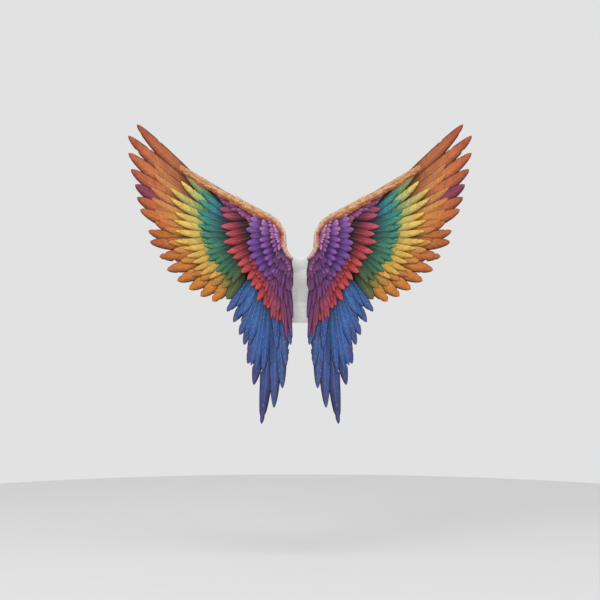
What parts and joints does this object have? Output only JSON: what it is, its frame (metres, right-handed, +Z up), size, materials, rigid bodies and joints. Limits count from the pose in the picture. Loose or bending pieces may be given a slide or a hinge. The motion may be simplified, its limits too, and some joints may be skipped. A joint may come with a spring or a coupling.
{
  "type": "feather costume wings",
  "caption": "Pair of layered feather costume wings, hinged to a padded back plate with two shoulder straps.",
  "frame": {"origin": "centre of the back pad's rear face, which rests on the wearer's back", "axes": "+X along the span, +Z up, +Y towards the wearer; the feathered side faces -Y"},
  "size_m": [0.9508, 0.186, 0.8353],
  "materials": {
    "white_plastic": "satin moulded",
    "steel": "satin",
    "painted_wire": "white powder coat",
    "pad_fabric": "knitted",
    "webbing": "woven",
    "backing_fabric": "dark wine plain weave",
    "primary_feathers": "soft feather",
    "secondary_feathers": "soft feather",
    "tertial_feathers": "soft feather",
    "greater_coverts": "soft feather",
    "median_coverts": "soft feather",
    "red_coverts": "soft feather",
    "plum_scapulars": "soft feather",
    "purple_coverts": "soft feather",
    "lesser_coverts": "soft feather",
    "edge_coverts": "soft feather"
  },
  "bodies": {
    "harness": {"back_plate": "white_plastic", "back_pad": "pad_fabric", "left_hinge_bracket": "steel", "left_upper_bracket_screw": "steel", "left_lower_bracket_screw": "steel", "left_shoulder_strap": "webbing", "left_upper_strap_anchor": "white_plastic", "left_lower_strap_anchor": "white_plastic", "right_hinge_bracket": "steel", "right_upper_bracket_screw": "steel", "right_lower_bracket_screw": "steel", "right_shoulder_strap": "webbing", "right_upper_strap_anchor": "white_plastic", "right_lower_strap_anchor": "white_plastic"},
    "left_wing": {"left_hinge_leaf": "steel", "left_wing_spar": "painted_wire", "left_wing_rib_1": "painted_wire", "left_wing_rib_2": "painted_wire", "left_wing_rib_3": "painted_wire", "left_wing_rib_4": "painted_wire", "left_backing_panel": "backing_fabric", "left_primary_feathers": "primary_feathers", "left_secondary_feathers": "secondary_feathers", "left_tertial_feathers": "tertial_feathers", "left_greater_coverts": "greater_coverts", "left_median_coverts": "median_coverts", "left_red_coverts": "red_coverts", "left_plum_scapulars": "plum_scapulars", "left_purple_coverts": "purple_coverts", "left_lesser_coverts": "lesser_coverts", "left_edge_coverts": "edge_coverts"},
    "left_pin": {"left_hinge_pin": "steel"},
    "left_adjuster": {"left_strap_adjuster": "white_plastic"},
    "right_wing": {"right_hinge_leaf": "steel", "right_wing_spar": "painted_wire", "right_wing_rib_1": "painted_wire", "right_wing_rib_2": "painted_wire", "right_wing_rib_3": "painted_wire", "right_wing_rib_4": "painted_wire", "right_backing_panel": "backing_fabric", "right_primary_feathers": "primary_feathers", "right_secondary_feathers": "secondary_feathers", "right_tertial_feathers": "tertial_feathers", "right_greater_coverts": "greater_coverts", "right_median_coverts": "median_coverts", "right_red_coverts": "red_coverts", "right_plum_scapulars": "plum_scapulars", "right_purple_coverts": "purple_coverts", "right_lesser_coverts": "lesser_coverts", "right_edge_coverts": "edge_coverts"},
    "right_pin": {"right_hinge_pin": "steel"},
    "right_adjuster": {"right_strap_adjuster": "white_plastic"}
  },
  "joints": [
    {"name": "left_wing_swing", "type": "hinge", "parent": "harness", "child": "left_wing", "pos_m": [-0.034, -0.034, 0], "axis": [0, 0, 1], "range_deg": [-8, 60]},
    {"name": "left_pin_pull", "type": "slide", "parent": "harness", "child": "left_pin", "axis": [0, 0, 1], "range_m": [0, 0.125]},
    {"name": "left_strap_adjust", "type": "slide", "parent": "harness", "child": "left_adjuster", "axis": [0, 0, 1], "range_m": [-0.045, 0.045]},
    {"name": "right_wing_swing", "type": "hinge", "parent": "harness", "child": "right_wing", "pos_m": [0.034, -0.034, 0], "axis": [0, 0, -1], "range_deg": [-8, 60]},
    {"name": "right_pin_pull", "type": "slide", "parent": "harness", "child": "right_pin", "axis": [0, 0, 1], "range_m": [0, 0.125]},
    {"name": "right_strap_adjust", "type": "slide", "parent": "harness", "child": "right_adjuster", "axis": [0, 0, 1], "range_m": [-0.045, 0.045]}
  ]
}
